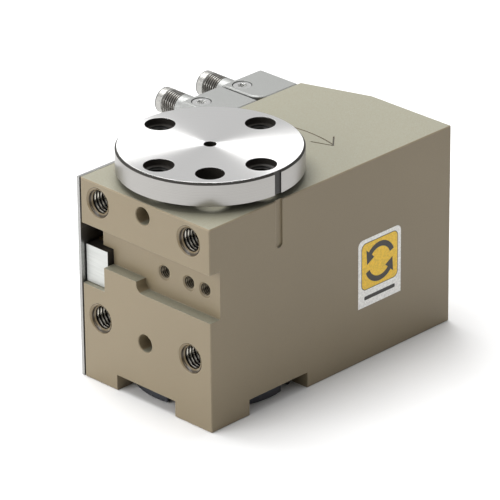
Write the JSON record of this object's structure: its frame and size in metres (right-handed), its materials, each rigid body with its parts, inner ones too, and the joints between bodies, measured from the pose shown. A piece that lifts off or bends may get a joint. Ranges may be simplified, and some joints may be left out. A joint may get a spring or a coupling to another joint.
{
  "type": "rotary pneumatic actuator",
  "caption": "Block-shaped rotary pneumatic actuator with a round output flange on top, threaded front face, side cover and plug-in position sensors.",
  "frame": {"origin": "centre of the output flange's mounting face, on the rotation axis", "axes": "+Z out of the output flange along the rotation axis, +X from the front mounting face to the rear, +Y towards the side cover and the sensor plugs"},
  "size_m": [0.147, 0.1204, 0.1072],
  "materials": {
    "anodised_body": "hard-anodised khaki, satin",
    "turned_steel": "face-turned bright steel",
    "gear_steel": "ground and hardened steel",
    "bearing_steel": "ground bearing steel",
    "black_steel": "blackened steel, satin",
    "seal_rubber": "moulded nitrile",
    "plain_aluminium": "turned aluminium",
    "magnet": "plastic-bonded magnet",
    "bright_screw": "zinc-plated steel",
    "bronze": "bearing bronze",
    "cover_plate": "ground stainless sheet",
    "bright_block": "ground hardened steel",
    "insert_steel": "stainless wire thread insert",
    "label_film": "printed film, gloss",
    "sensor_metal": "fine-cast grey metal",
    "plug_metal": "grey nickel-plated thread",
    "pin_brass": "gold-plated contacts in a carrier"
  },
  "bodies": {
    "case": {"housing": "anodised_body", "top_bearing_outer_ring": "bearing_steel", "low_bearing_outer_ring": "bearing_steel", "bearing_ring_nut": "black_steel", "bearing_cap": "black_steel", "bearing_cap_screws": "black_steel", "shaft_seal": "seal_rubber", "rod_gland": "bronze", "rod_seal": "seal_rubber", "end_cap": "plain_aluminium", "end_cap_seal": "seal_rubber", "retaining_ring": "black_steel", "side_gasket": "seal_rubber", "side_cover": "cover_plate", "side_cover_screws": "bright_screw", "stop_block_screws": "bright_screw", "stop_block": "bright_block", "rack_guide": "bronze", "front_thread_inserts": "insert_steel", "label": "label_film", "sensor_rail": "sensor_metal", "sensor_rail_studs": "bright_screw", "front_sensor": "sensor_metal", "front_sensor_plug": "plug_metal", "rear_sensor": "sensor_metal", "rear_sensor_plug": "plug_metal", "sensor_screws": "bright_screw", "sensor_pins": "pin_brass"},
    "output": {"output_flange": "turned_steel", "pinion_shaft": "gear_steel", "shaft_key": "gear_steel", "shaft_lock_nut": "black_steel", "top_bearing_inner_ring": "bearing_steel", "low_bearing_inner_ring": "bearing_steel", "top_bearing_balls": "bearing_steel", "low_bearing_balls": "bearing_steel"},
    "drive": {"rack": "gear_steel", "piston_rod": "gear_steel", "piston": "plain_aluminium", "piston_seals": "seal_rubber", "piston_magnet": "magnet", "piston_nut": "bright_screw"}
  },
  "joints": [
    {"name": "output_turn", "type": "hinge", "parent": "case", "child": "output", "pos_m": [0, 0, 0], "axis": [0, 0, -1], "range_deg": [0, 90]},
    {"name": "rack_slide", "type": "slide", "parent": "case", "child": "drive", "axis": [1, 0, 0], "range_m": [0, 0.0252]}
  ],
  "couplings": [
    {"joint": "rack_slide", "follows": "output_turn", "m_per_rad": 0.016}
  ]
}
